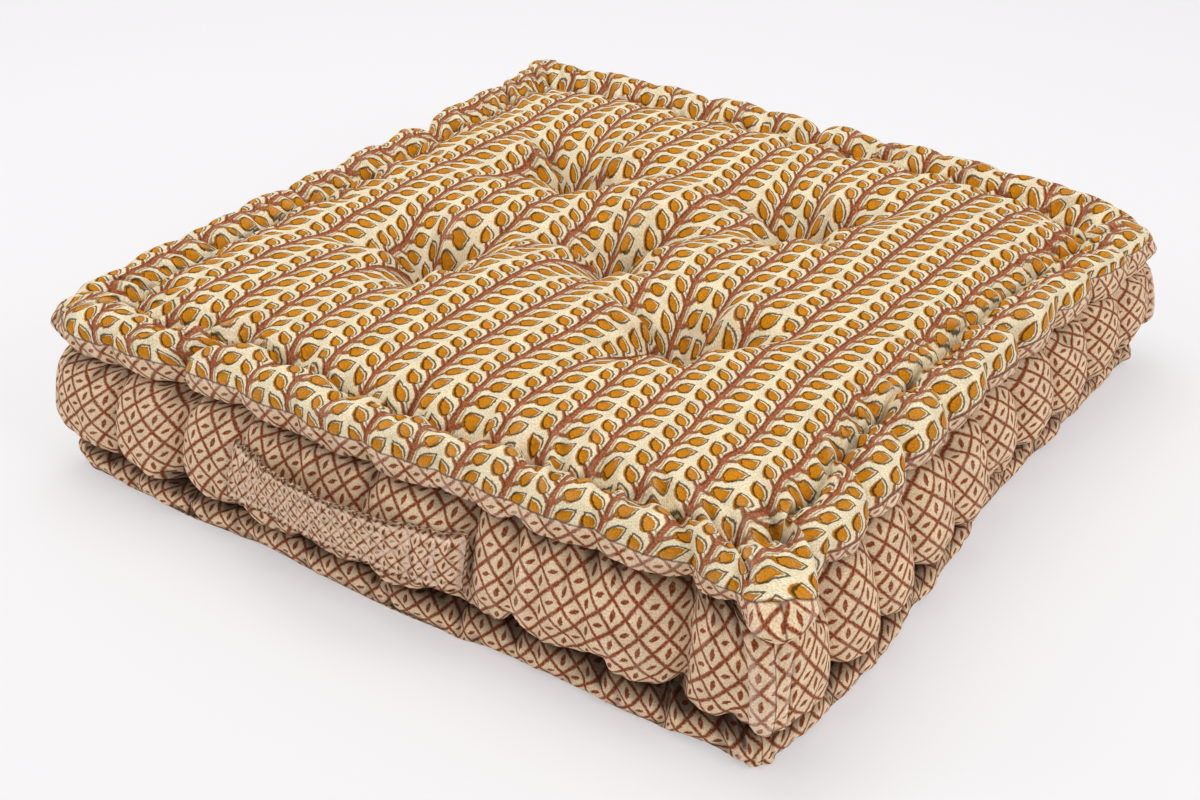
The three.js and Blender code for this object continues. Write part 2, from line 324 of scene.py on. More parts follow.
def stitch_step(side, at):
    """Each stretch of roll starts further out than the last one ends."""
    number = (at - FIRST_STITCH) / STITCH_PITCH
    before = math.floor(number)
    return STITCH_STEP * (0.5 - (number - before)) * (1 + uneven(before, side, UNEVEN_STEP))


def corner_share(at, reach=CORNER_REACH):
    return math.exp(-(((HALF - abs(at)) / reach) ** 2))


def edge_line(side, at):
    """Top, base and lift of the edge line at a place on the walk, eased between its rows."""
    walk = side * SIDE + at
    places = [row.side * SIDE + row.at for row in EDGE_LINE] + [4 * SIDE - HALF]
    after = next((i for i, place in enumerate(places) if place > walk), len(EDGE_LINE))
    first, second = EDGE_LINE[after - 1], EDGE_LINE[after % len(EDGE_LINE)]
    share = eased(walk, places[after - 1], places[after])
    return [mixed(first[column], second[column], share) for column in (2, 3, 4)]


def fold_depth(folds, side, at):
    """How deep the folds of a side are at a place, between rounded stuffed lobes."""
    total = 0.0
    for fold in folds:
        if fold.side == side:
            share = max(0.0, 1 - abs(at - fold.at) / (FOLD_REACH * fold.width))
            total += fold.depth * mixed(1 - math.sqrt(1 - share * share), share * share, LOBE_ROUND)
    return total


Place = namedtuple("Place", "side at across along_x along")


def side_place(u, v):
    """Which side a place on the square belongs to, and where along it. u and v run from -1 to 1."""
    across = max(abs(u), abs(v), 1e-9)
    along_x = abs(v) >= abs(u)
    if along_x:
        side = 0 if v < 0 else 2
    else:
        side = 1 if u > 0 else 3
    along = (u if along_x else v) / across
    turn = 1 if side in (0, 1) else -1
    return Place(side, along * turn * HALF, across, along_x, along)


def corner_of(place):
    """The corner nearest to a place."""
    return CORNERS[(place.side + (place.at > 0)) % 4]


def on_outline(place, u, v, half, radius):
    """A point of a square outline with rounded corners, and the outward direction there."""
    reach = half * place.across
    radius *= place.across
    past = abs(place.along) * reach - (reach - radius)
    angle = past / radius * math.pi / 4 if past > 0 else 0
    far = reach - radius + radius * math.cos(angle)
    near = reach - radius + radius * math.sin(angle) if past > 0 else abs(place.along) * reach
    x, y = (near, far) if place.along_x else (far, near)
    nx, ny = math.cos(angle), math.sin(angle)
    if place.along_x:
        nx, ny = ny, nx
    sign_x, sign_y = math.copysign(1, u), math.copysign(1, v)
    return x * sign_x, y * sign_y, nx * sign_x, ny * sign_y


def edge_point(u, v, row):
    """A point of the rolls and sides."""
    place = side_place(u, v)
    values = section_at(turned_line(place, row))
    stitch = stitch_pull(place.at) * stitch_strength(place.side, place.at)
    stitch *= 1 - values["fold"] * corner_share(place.at, CORNER_LOBE)
    x, y, nx, ny = on_outline(place, u, v, HALF - values["inset"], CORNER_ROUND)
    top, base, lift = edge_line(place.side, place.at)
    drawn_in = values["pull"] * stitch + values["fold"] * fold_depth(SIDE_FOLDS, place.side, place.at)
    out = mixed(base, top, values["level"]) - drawn_in + values["corner"] * corner_share(place.at)
    out += stitch_step(place.side, place.at) * eased(values["pull"], 0, 4)
    lift *= eased(values["level"], LIFTED_LEVEL, 1)
    if values["level"] > LIFTED_LEVEL:
        crown = SECTION[LINE["roll crown"]].height
        across_roll = fold_depth(ROLL_FOLDS, place.side, place.at) * values["height"] / crown
        out -= across_roll
        lift -= across_roll
    near = corner_share(place.at)
    out += values["gather"] * gathers(place, values["height"])
    out += CORNER_CRUMPLE * near * crumple(place, values)
    corner = corner_of(place)
    ear = values["ear"] * corner_share(place.at, EAR_REACH)
    out += corner.ear * ear
    lift -= corner.droop * ear
    x += mixed(corner.base[0], corner.top[0], values["level"]) * near
    y += mixed(corner.base[1], corner.top[1], values["level"]) * near
    ripple = values["dip"] * EDGE_RIPPLE * gathers(place, 0)
    z = max(0.0, values["height"] - values["dip"] * stitch + ripple + lift)
    return Vector((x + nx * out, y + ny * out, z))


def gathers(place, height):
    """Small upright wrinkles where the cloth is drawn up by its seams, from -1 to 1."""
    walk = place.side * SIDE + place.at
    return 2 * noise.noise((walk / GATHER_SPACING, height / GATHER_LENGTH, 7.3))


def crumple(place, values):
    """The small folds at a corner, where three pieces of cloth meet, from -1 to 1."""
    walk = place.side * SIDE + place.at
    where = (walk / CRUMPLE_SIZE, (values["height"] - values["inset"]) / CRUMPLE_SIZE, 4.6)
    share = max(min(1.0, 2 * values["ear"]), eased(BASE_SEAM_HEIGHT - values["height"], 0, 4))
    return (0.4 - 2.5 * abs(noise.noise(where))) * share


def lumps(x, y):
    """The uneven stuffing under the crown, in millimetres."""
    return sum(depth * noise.noise((x / size, y / size, size)) for size, depth in LUMPS)


def panel_point(u, v, row):
    """A point of the top or base panel, inside its groove."""
    values = SECTION_ROWS[row]
    place = side_place(u, v)
    half = HALF - values["inset"]
    x, y, nx, ny = on_outline(place, u, v, half, CORNER_ROUND)
    top, base, lift = edge_line(place.side, place.at)
    out = (top if row == 0 else base) * place.across**EDGE_FADE
    x, y = x + nx * out, y + ny * out
    if row:
        return Vector((x, y, base_height(x, y)))
    z = crown_height(x, y, half) + lift * place.across**EDGE_FADE
    stitch = stitch_pull(place.at) * stitch_strength(place.side, place.at)
    z -= values["dip"] * stitch * place.across**STITCH_FADE
    z += values["dip"] * EDGE_RIPPLE * gathers(place, 0) * place.across**RIPPLE_FADE
    return Vector((x, y, z))


def crown_height(x, y, half):
    rise = 1.0
    for value, along in ((x, y), (y, x)):
        ease = mixed(CROWN_EASE_BETWEEN, CROWN_EASE_STITCH, stitch_pull(along))
        rise *= 1 - math.exp(-max(0, half - abs(value)) / ease)
    return SECTION[0].height + CROWN_RISE * rise - pits(x, y) + (lumps(x, y) - valleys(x, y)) * rise


def pits(x, y):
    """Depth of the tufts' pits, each a sharp cone in a wide hollow, with folds running out of it."""
    total = 0.0
    for tuft in TUFTS:
        away = math.hypot(x - tuft.x, y - tuft.y)
        if away > PIT_END:
            continue
        angle = math.atan2(y - tuft.y, x - tuft.x) + tuft.turn
        longer = 1 + sum(share * math.cos(count * angle + count * count) for count, share in PIT_FOLDS)
        cone = math.exp(-away / (PIT_REACH * longer))
        hollow = math.exp(-((away / (PIT_SPREAD * longer)) ** 2))
        total += tuft.depth * mixed(hollow, cone, PIT_SHARE)
    return total


def valleys(x, y):
    """Depth of the low valleys between the middle tuft and the outer ones."""
    middle = Vector((TUFTS[0].x, TUFTS[0].y))
    place = Vector((x, y)) - middle
    deepest = 0.0
    for tuft in TUFTS[1:]:
        line = Vector((tuft.x, tuft.y)) - middle
        share = min(1.0, max(0.0, place.dot(line) / line.length_squared))
        away = (place - line * share).length
        deepest = max(deepest, math.exp(-((away / VALLEY_HALF) ** 2)))
    return VALLEY_DEPTH * deepest


def base_height(x, y):
    away = [math.hypot(x - t.x, y - t.y) / BASE_DIMPLE_REACH for t in TUFTS]
    return sum(BASE_DIMPLE * math.exp(-(value**2)) for value in away if value < 3)


# ---- the cloth as it was cut ------------------------------------------------------------------

GROOVE_HALF = HALF - SECTION[0].inset
BASE_GROOVE_HALF = HALF - SECTION[LAST_LINE].inset
SEAM_ROW = TOP_SEAM * ROWS_PER_LINE
BASE_SEAM_ROW = BASE_SEAM * ROWS_PER_LINE
# Extra cloth that a tuft takes in, as a share of its depth, and from how near to how far away; what
# an ear takes in; and how far apart the four side bands lie on the cloth
PIT_TAKE_UP = 0.3
PIT_TAKE_NEAR = 15
PIT_TAKE_FAR = 110
EAR_EXTRA = 12
BAND_SPACING = 700


def over_crown(length):
    """Length of cloth over the crown from its middle out to a distance along X or Y."""
    slope = CROWN_RISE / CROWN_EASE
    steps = 40
    total = 0.0
    for i in range(steps):
        from_groove = GROOVE_HALF - length * (i + 0.5) / steps
        total += math.hypot(1, slope * math.exp(-from_groove / CROWN_EASE)) * length / steps
    return total


def key(value):
    """A station as it is looked up."""
    return round(value, 3)


def along_band(side):
    """Length of cloth along a side at its fullest line, from its middle to each station: the side
    bands are cut longer than the cushion, and gathered on to it."""
    row = LINE["side middle"] * ROWS_PER_LINE
    corners = [(-1, -1), (1, -1), (1, 1), (-1, 1)]
    start, end = Vector(corners[side]), Vector(corners[(side + 1) % 4])
    points = [edge_point(*start.lerp(end, (at + HALF) / SIDE), row) for at in STATIONS]
    lengths = [0.0]
    for first, second in zip(points, points[1:]):
        lengths.append(lengths[-1] + (second - first).length)
    return {key(at): length - lengths[-1] / 2 for at, length in zip(STATIONS, lengths)}


CROWN_LENGTHS = {key(abs(at)): over_crown(abs(at) / HALF * GROOVE_HALF) for at in STATIONS}
PANEL_HALF = CROWN_LENGTHS[HALF]
BAND_LENGTHS = [along_band(side) for side in range(4)]


def into_pits(x, y):
    """Extra cloth that the tufts take in, as a shift away from each of them."""
    shift = Vector((0.0, 0.0))
    for tuft in TUFTS:
        away = Vector((x - tuft.x, y - tuft.y))
        distance = away.length
        extra = PIT_TAKE_UP * tuft.depth * (1 - math.exp(-distance / PIT_TAKE_NEAR))
        if distance > 1e-6:
            shift += away * (extra * math.exp(-((distance / PIT_TAKE_FAR) ** 2)) / distance)
    return shift


def cut_place(u, v, row, panel):
    """Where a point of the cover lies on the cloth as cut: panel is top, base or a side's number."""
    place = side_place(u, v)
    if panel == "top":
        longer = 1 + (down_at(place, row) if row else 0.0) / PANEL_HALF
        ear = corner_of(place).ear * section_at(turned_line(place, row))["ear"]
        ear *= math.sqrt(0.5) * corner_share(place.at, EAR_REACH)
        lengths = [CROWN_LENGTHS[key(abs(value) * HALF)] * longer + ear for value in (u, v)]
        flat = Vector((math.copysign(lengths[0], u), math.copysign(lengths[1], v)))
        return flat + into_pits(u * GROOVE_HALF, v * GROOVE_HALF) if row == 0 else flat
    if panel == "base":
        return Vector((u, v)) * (BASE_GROOVE_HALF + DOWN[ROWS] - DOWN[row])
    at = place.at
    if panel != place.side:  # the far corner of a side belongs to the next one
        at = -at
    extra = EAR_EXTRA * SECTION_ROWS[row]["ear"] * eased(abs(at), HALF - EAR_REACH, HALF)
    along = BAND_LENGTHS[panel][key(at)] + math.copysign(extra, at)
    return Vector((panel * BAND_SPACING + along, DOWN[BASE_SEAM_ROW] - down_at(place, row)))


# ---- the cover's mesh -------------------------------------------------------------------------


def to_mesh(bm, name):
    """A mesh made of a bmesh, which is freed."""
    mesh = bpy.data.meshes.new(name)
    bm.to_mesh(mesh)
    bm.free()
    return mesh


def block_mesh(columns, lines, rows):
    """A closed block from -1 to 1: a grid on its front and back, and rows round its edge."""
    bm = bmesh.new()
    rims = []
    for height in (1, -1):
        made = bmesh.ops.create_grid(bm, x_segments=columns, y_segments=lines, size=1)
        bmesh.ops.translate(bm, vec=(0, 0, height), verts=made["verts"])
        rims += [e for e in {e for v in made["verts"] for e in v.link_edges} if e.is_boundary]
    bridged = bmesh.ops.bridge_loops(bm, edges=rims)
    uprights = [e for e in bridged["edges"] if abs(e.verts[0].co.z - e.verts[1].co.z) > 1]
    if rows > 1:
        bmesh.ops.subdivide_edges(bm, edges=uprights, cuts=rows - 1, use_grid_fill=True)
    bmesh.ops.recalc_face_normals(bm, faces=bm.faces)
    return bm


def block_place(co):
    """u, v and row of a point of the block."""
    u, v = (STATIONS[round((value + 1) / 2 * COLUMNS)] / HALF for value in (co.x, co.y))
    return u, v, round((1 - co.z) / 2 * ROWS)


def panel_of(face, places):
    rows = [places[v.index][2] for v in face.verts]
    if max(rows) <= SEAM_ROW:
        return "top"
    if min(rows) >= BASE_SEAM_ROW:
        return "base"
    middle_u = sum(places[v.index][0] for v in face.verts)
    middle_v = sum(places[v.index][1] for v in face.verts)
    return side_place(middle_u / 4, middle_v / 4).side


def cover_mesh(name):
    bm = block_mesh(COLUMNS, COLUMNS, ROWS)
    bm.verts.ensure_lookup_table()
    bm.verts.index_update()
    places = [block_place(v.co) for v in bm.verts]
    layer = bm.loops.layers.uv.new("cut")
    for face in bm.faces:
        panel = panel_of(face, places)
        face.material_index = 0 if panel == "top" else 1
        face.smooth = True
        for loop in face.loops:
            loop[layer].uv = cut_place(*places[loop.vert.index], panel) * MM
    for vert, (u, v, row) in zip(bm.verts, places):
        on_edge = max(abs(u), abs(v)) > EDGE_STARTS
        vert.co = (edge_point if on_edge else panel_point)(u, v, row) * MM
    return to_mesh(bm, name), places


# How firmly each part of the cover is held while it is stuffed: 1 is fixed
HOLD = {"free": 0.1, "stitch": 1.0, "seam": 0.5, "base": 0.6, "tuft": 1.0}
TUFT_TIE = 4
PIT_HOLD_REACH = 22
AT_STITCH = 0.97
STITCHED_ROWS = [LINE[name] * ROWS_PER_LINE for name in ("top groove", "upper crease", "lower crease")]
# The cloth is cut larger than the form that it is stuffed to, so it swells and wrinkles: by least
# on the base, and by most at the seams and tufts that it is gathered into
LEAST_EASE = 0.0
MOST_EASE = 0.12
EASE = {"crown": 0.0, "tuft": 0.4, "roll": 0.4, "side": 0.5, "seam": 1.0, "base": 0.0}
EASE_REACH = 14
FRAMES = 20
CLOTH = {
    "quality": 5,
    "mass": 0.3,
    "tension_stiffness": 15,
    "compression_stiffness": 15,
    "shear_stiffness": 5,
    "bending_stiffness": 0.3,
    "pin_stiffness": 1,
    "use_pressure": True,
}


def from_tuft(u, v):
    """How far a place on the crown is from the nearest tuft."""
    return min(math.hypot(u * GROOVE_HALF - t.x, v * GROOVE_HALF - t.y) for t in TUFTS)


def hold_at(u, v, row):
    """How firmly a place is held, from 0 to 1."""
    place = side_place(u, v)
    on_edge = place.across > EDGE_STARTS
    if row == 0:
        away = from_tuft(u, v)
        if away < TUFT_TIE:
            return HOLD["tuft"]
        if not on_edge:
            return mixed(HOLD["free"], HOLD["seam"], math.exp(-away / PIT_HOLD_REACH))
    if on_edge and row in STITCHED_ROWS:
        return HOLD["stitch"] if stitch_pull(place.at) > AT_STITCH else HOLD["seam"]
    if row >= LINE["base roll rest"] * ROWS_PER_LINE:
        return HOLD["base"]
    return HOLD["free"]


def ease_at(u, v, row):
    """How much larger the cloth is cut at a place, from 0 for the least to 1 for the most."""
    if row == 0:
        away = from_tuft(u, v)
        return mixed(EASE["crown"], EASE["tuft"], math.exp(-((away / PIT_SPREAD) ** 2)))
    if row >= LINE["base roll foot"] * ROWS_PER_LINE:
        return EASE["base"]
    away = min(abs(DOWN[row] - DOWN[seam]) for seam in STITCHED_ROWS)
    usual = EASE["roll"] if row < STITCHED_ROWS[1] else EASE["side"]
    return mixed(usual, EASE["seam"], math.exp(-((away / EASE_REACH) ** 2)))


def stuff(cover, places, settings):
    """Fill the cover: its cloth keeps the lengths it was cut to, air pressure stands for the
    stuffing, and the stitches, seams and tufts hold it. The result is written to the mesh."""
    mesh = cover.data
    before = [v.co.copy() for v in mesh.vertices]
    held = cover.vertex_groups.new(name="stitched")
    tight = cover.vertex_groups.new(name="cut tight")
    for index, place in enumerate(places):
        held.add([index], hold_at(*place), "REPLACE")
        tight.add([index], 1 - ease_at(*place), "REPLACE")
    cloth = cover.modifiers.new("stuffing", "CLOTH")
    cloth.settings.vertex_group_mass = held.name
    cloth.settings.vertex_group_shrink = tight.name
    cloth.settings.shrink_min = -MOST_EASE
    cloth.settings.shrink_max = -LEAST_EASE
    for name, value in CLOTH.items():
        setattr(cloth.settings, name, value)
    cloth.settings.uniform_pressure_force = settings.pressure
    cloth.settings.effector_weights.gravity = 0
    cloth.collision_settings.use_self_collision = False
    cloth.point_cache.frame_end = FRAMES
    scene = bpy.context.scene
    for frame_number in range(1, FRAMES + 1):
        scene.frame_set(frame_number)
    evaluated = cover.evaluated_get(bpy.context.evaluated_depsgraph_get())
    after = [v.co.copy() for v in evaluated.data.vertices]
    cover.modifiers.remove(cloth)
    cover.vertex_groups.clear()
    for vert, start, end in zip(mesh.vertices, before, after):
        move = end - start
        if move.length > settings.swell:
            move *= settings.swell / move.length
        vert.co = start + move
        vert.co.z = max(0.0, vert.co.z)
    scene.frame_set(1)
    mesh.update()


# Bends of the cloth, in turns to the metre, at which a ridge is fully rubbed pale, with a painted sheen
# highlight, or a crease is fully painted dark as shade
RIDGE_BEND = 62.0
SEAM_BEND = 36.0
CREASE_BENDS = (-15.0, -62.0)
# How often the bends are smoothed, and how far towards their neighbours
BEND_SMOOTHING = 2
BEND_SPREAD = 0.6
# At a corner's ear: less rubbed paleness and painted sheen, and more painted shade
EAR_SHADE = 0.45
# Hands have rubbed the strap pale all over: this lightens its painted crease shade and adds to its
# rubbed paleness and painted sheen highlight
STRAP_PALENESS = 0.3


def mark_seams(mesh, places):
    """Give the mesh an attribute "seam": 1 where two panels are sewn together and 0 beyond."""
    values = []
    for u, v, row in places:
        corner = min(abs(u), abs(v)) > EDGE_STARTS and SEAM_ROW <= row <= BASE_SEAM_ROW
        values.append(1.0 if corner or row in (SEAM_ROW, BASE_SEAM_ROW) else 0.0)
    mesh.attributes.new("seam", "FLOAT", "POINT").data.foreach_set("value", values)


def mark_wear_sheen_and_shade(mesh, sewn=None, shade=None):
    """Give the mesh an attribute of wear, painted sheen and painted shade: above 0 on ridges, which are
    rubbed pale and given a painted sheen highlight, and below 0 in creases, which are painted dark as
    shade. sewn gives its own bend to each point on a seam, and shade lowers each point towards painted
    shade."""
    bm = bmesh.new()
    bm.from_mesh(mesh)
    bends = []
    for vert in bm.verts:
        total = 0.0
        for edge in vert.link_edges:
            along = edge.other_vert(vert).co - vert.co
            total -= along.dot(vert.normal) / max(along.length_squared, 1e-9)
        bends.append(total / max(1, len(vert.link_edges)))
    nearby = [[edge.other_vert(vert).index for edge in vert.link_edges] for vert in bm.verts]
    bm.free()
    for _ in range(BEND_SMOOTHING):
        bends = [
            mixed(bend, sum(bends[index] for index in near) / len(near), BEND_SPREAD)
            for bend, near in zip(bends, nearby)
        ]
    for index, bend in (sewn or {}).items():
        bends[index] = bend
    values = [max(-1.0, min(1.0, bend / RIDGE_BEND)) for bend in bends]
    if shade:
        values = [max(-1.0, value - most) for value, most in zip(values, shade)]
    wear = mesh.attributes.new("wear", "FLOAT", "POINT")
    wear.data.foreach_set("value", values)


def sewn_bends(places):
    """The pale seam of the roll, rubbed and given a painted sheen highlight, and the creases beside it,
    painted dark as shade, darkest at their stitches.
    """
    bends = {}
    for index, (u, v, row) in enumerate(places):
        place = side_place(u, v)
        if row == SEAM_ROW:
            bends[index] = SEAM_BEND
        elif place.across > EDGE_STARTS and row in STITCHED_ROWS:
            bends[index] = mixed(*CREASE_BENDS, stitch_pull(place.at))
    return bends


def shades(places):
    """How much painted shade each point of the cover gets, as it lies out of the light and of wear, 0 to
    1.
    """
    values = []
    for u, v, row in places:
        place = side_place(u, v)
        section = SECTION_ROWS[row]
        ear = EAR_SHADE * section["ear"] * corner_share(place.at, EAR_REACH)
        values.append(section["shade"] + ear if place.across > EDGE_STARTS else 0.0)
    return values


def new_object(name, mesh):
    piece = bpy.data.objects.new(name, mesh)
    bpy.context.scene.collection.objects.link(piece)
    return piece


# ---- the strap handle ---------------------------------------------------------------------------

# A strip folded to four layers, gathered a little by its own stitching, and sewn to the side at
# both ends. Ends and heights are along X and Z; a patch is the length of a sewn end.
STRAP_LEFT, STRAP_RIGHT = -117, 82
STRAP_LENGTH = STRAP_RIGHT - STRAP_LEFT
STRAP_WIDTH = 38
STRAP_THICKNESS = 4.5
LEFT_PATCH, RIGHT_PATCH = 23, 38
LEFT_HEIGHT, RIGHT_HEIGHT = 68, 66
# How far the strap hangs and stands off at the middle, and its gaps to the side, sewn and free
STRAP_SAG = -2
STAND_OFF = 9
SEWN_GAP = 0.4
CLEAR_GAP = 1.5
STRAP_COLUMNS, STRAP_LINES, STRAP_ROWS = 130, 26, 3
# The stitch lines: in from each long edge, and in from both ends of each patch
EDGE_STITCH = 4.5
PATCH_STITCH = 2.5
STITCH_GROOVE = 1.6
STITCH_PINCH = 0.62
# The quilted cloth's small puffs, as share, length, height and seed, and how deep they are
PUFFS = [(2, 6, 9, 2.1), (1, 3.4, 7, 8.4)]
PUFF_DEPTH = 1.5
BACK_PUFFS = 0.4
# The ruffle of the long edges: its depth, length and seed; and how much thinner those edges are
RUFFLE = (1.8, 4.0, 1.5)
EDGE_THINNING = 0.35
# How the strap leans out over its height where it is free, and the bow at which it is clear
STRAP_LEAN = 1.5
CLEAR_BOW = 0.35
# How much longer the cloth was cut than the strap, along and across it, before it was gathered
STRAP_TAKE_UP = (1.7, 1.5)
STITCH_LENGTH = 2.6
STITCH_SPACING = 3.6
STITCH_THICKNESS = 0.5


# A strap bridges the creases behind it: places looked at to each side, and how far it sinks in
BRIDGED = (-8, -4, 0, 4, 8)
SINKS_IN = 0.25
IN_FRONT = -HALF - 60


def cover_front(tree, x, z):
    """Where the cover's front side stands behind the strap."""
    found = []
    for step in BRIDGED:
        hit = tree.ray_cast(Vector((x + step, IN_FRONT, z)) * MM, Vector((0, 1, 0)))[0]
        found.append(hit.y / MM)
    return mixed(min(found), found[BRIDGED.index(0)], SINKS_IN)


FREE_END = STRAP_LENGTH - RIGHT_PATCH
CROSS_LINES = (PATCH_STITCH, LEFT_PATCH, FREE_END, STRAP_LENGTH - PATCH_STITCH)


def stitch_lines(x, z):
    """How far a place on the strap is from its nearest line of stitching: x from the left end, z
    from the middle line."""
    away = [abs(STRAP_WIDTH / 2 - EDGE_STITCH - abs(z))]
    if abs(z) < STRAP_WIDTH / 2 - PATCH_STITCH:
        away += [abs(x - place) for place in CROSS_LINES]
    return min(away)


def strap_point(tree, x, z, layer):
    """A point of the strap: x from its left end, z from its middle line, layer 0 behind, 1 in front."""
    free = (x - LEFT_PATCH) / (STRAP_LENGTH - LEFT_PATCH - RIGHT_PATCH)
    bow = math.sin(math.pi * free) if 0 < free < 1 else 0.0
    clear = eased(bow, 0, CLEAR_BOW)
    height = mixed(LEFT_HEIGHT, RIGHT_HEIGHT, x / STRAP_LENGTH) - STRAP_SAG * bow
    edge = abs(z) / (STRAP_WIDTH / 2)
    depth, length, seed = RUFFLE
    ruffle = depth * noise.noise((x / length, math.copysign(3, z), seed)) * edge**3
    at_x, at_z = STRAP_LEFT + x, height + z + ruffle
    sewn = cover_front(tree, at_x, at_z) - SEWN_GAP
    ends = [cover_front(tree, STRAP_LEFT + end, height) for end in (LEFT_PATCH, FREE_END)]
    span = mixed(*ends, min(1.0, max(0.0, free))) - STAND_OFF * bow - STRAP_LEAN * bow * z / STRAP_WIDTH
    behind = mixed(sewn, min(span, sewn - CLEAR_GAP), clear)
    groove = math.exp(-((stitch_lines(x, z) / STITCH_GROOVE) ** 2))
    puffs = sum(
        share * abs(noise.noise((x / length, z / high, seed))) for share, length, high, seed in PUFFS
    )
    pucker = PUFF_DEPTH * (min(1.0, puffs) - 0.5)
    thick = STRAP_THICKNESS * (1 - STITCH_PINCH * groove) * (1 - EDGE_THINNING * edge**8)
    middle = behind - STRAP_THICKNESS / 2
    away = (layer - 0.5) * thick + pucker * (1 if layer > 0.5 else BACK_PUFFS * clear)
    return Vector((at_x, middle - away, at_z))


def strap_mesh(name, tree):
    bm = block_mesh(STRAP_COLUMNS, STRAP_LINES, STRAP_ROWS)
    layer = bm.loops.layers.uv.new("cut")
    for face in bm.faces:
        face.smooth = True
        back = 0 if face.calc_center_median().z > 0 else STRAP_WIDTH * 2
        for loop in face.loops:
            x, z = (value * size / 2 for value, size in zip(loop.vert.co, (STRAP_LENGTH, STRAP_WIDTH)))
            loop[layer].uv = Vector((x * STRAP_TAKE_UP[0], z * STRAP_TAKE_UP[1] + back)) * MM
    for vert in bm.verts:
        x, z = (vert.co.x + 1) / 2 * STRAP_LENGTH, vert.co.y * STRAP_WIDTH / 2
        vert.co = strap_point(tree, x, z, (vert.co.z + 1) / 2) * MM
    bmesh.ops.recalc_face_normals(bm, faces=bm.faces)
    return to_mesh(bm, name)


def thread_mesh(name, tree):
    """The stitches that show on the strap, each a short thread lying in its groove."""
    bm = bmesh.new()
    line = STRAP_WIDTH / 2 - EDGE_STITCH
    runs = [((CROSS_LINES[0], z), (CROSS_LINES[-1], z)) for z in (-line, line)]
    runs += [((x, -line), (x, line)) for x in CROSS_LINES]
    for start, end in runs:
        start, end = Vector(start), Vector(end)
        count = int((end - start).length / STITCH_SPACING)
        for number in range(count):
            place = start.lerp(end, (number + 0.5) / count)
            ahead = place + (end - start).normalized()
            here, there = (strap_point(tree, at.x, at.y, 1) for at in (place, ahead))
            turn = (there - here).to_track_quat("X", "Z").to_matrix().to_4x4()
            size = Matrix.Diagonal((STITCH_LENGTH / 2, STITCH_THICKNESS / 2, STITCH_THICKNESS / 2, 1))
            matrix = Matrix.Scale(MM, 4) @ Matrix.Translation(here) @ turn @ size
            bmesh.ops.create_uvsphere(bm, u_segments=6, v_segments=4, radius=1, matrix=matrix)
    for face in bm.faces:
        face.smooth = True
    return to_mesh(bm, name)


# ---- materials --------------------------------------------------------------------------------

MATH = "ShaderNodeMath"
VECTOR = "ShaderNodeVectorMath"
RANGE = "ShaderNodeMapRange"
CLAMP = "ShaderNodeClamp"
NOISE = "ShaderNodeTexNoise"
BUMP = "ShaderNodeBump"
MIX = "ShaderNodeMix"
CHOICE = {MATH: "operation", VECTOR: "operation", RANGE: "interpolation_type", CLAMP: "clamp_type"}
# The kind of node that a choice belongs to, if it isn't Math
KIND = {
    "DISTANCE": VECTOR, "DOT_PRODUCT": VECTOR, "SCALE": VECTOR,
    "LINEAR": RANGE, "SMOOTHSTEP": RANGE, "MINMAX": CLAMP,
}


def add(tree, kind, inputs=None, **settings):
    """Add a node. inputs gives each socket a value, or another node or its output. A number counts
    all of the node's sockets, and a name means the socket that its settings leave in use."""
    node = tree.nodes.new(kind)
    for name, value in settings.items():
        setattr(node, name, value)
    in_use = {socket.name: socket for socket in node.inputs if socket.enabled}
    for name, value in (inputs or {}).items():
        socket = node.inputs[name] if isinstance(name, int) else in_use[name]
        if isinstance(value, bpy.types.Node):
            value = next(output for output in value.outputs if output.enabled)
        if isinstance(value, bpy.types.NodeSocket):
            tree.links.new(value, socket)
        else:
            socket.default_value = value
    return node


def work_out(tree, known, rows):
    """Add a node for each row of a table: a name; the operation, or a kind of node that has none; and
    its inputs in order. An input that is a name stands for an earlier node, and None is left alone."""
    for name, choice, *inputs in rows:
        sockets = {
            place: known[value] if isinstance(value, str) else value
            for place, value in enumerate(inputs)
            if value is not None
        }
        if choice.startswith("ShaderNode"):
            known[name] = add(tree, choice, sockets)
        else:
            kind = KIND.get(choice, MATH)
            known[name] = add(tree, kind, sockets, **{CHOICE[kind]: choice})


def pattern_group(name, outputs):
    """An empty node group that takes a place on the cloth in millimetres, and that place as x and y."""
    tree = bpy.data.node_groups.new(name, "ShaderNodeTree")
    tree.interface.new_socket("Place", in_out="INPUT", socket_type="NodeSocketVector")
    for output in outputs:
        tree.interface.new_socket(output, in_out="OUTPUT", socket_type="NodeSocketFloat")
    place = add(tree, "ShaderNodeSeparateXYZ", {0: add(tree, "NodeGroupInput")})
    return tree, {"x": place.outputs["X"], "y": place.outputs["Y"]}


# The vine print, in millimetres: stems run along +Y, with a pair of leaves at every repeat. The
# right leaf of a pair is a little wider than the left one, and set further along the stem.
VINE_PITCH = 35.4
LEAF_PITCH = 14.6
STEM_HALF = 2.1
LEAF = {"out": 10.7, "up": 9.2, "half_length": 6.5, "half_width": 4.1}
LEAF_STAGGER = 0.7
LEAF_WIDER = 0.5
LEAF_TURN = math.radians(46)
# Half width of a leaf from its foot to its tip, as shares
LEAF_OUTLINE = [
    (0, 0), (0.05, 0.5), (0.16, 0.82), (0.36, 1), (0.58, 0.88), (0.8, 0.48), (0.93, 0.16), (1, 0),
]
STALK = {"from": (1.0, 0.2), "to": (6.9, 5.4), "half_width": 1.5, "taper": 0.06}
STALK_JOIN = 1.6


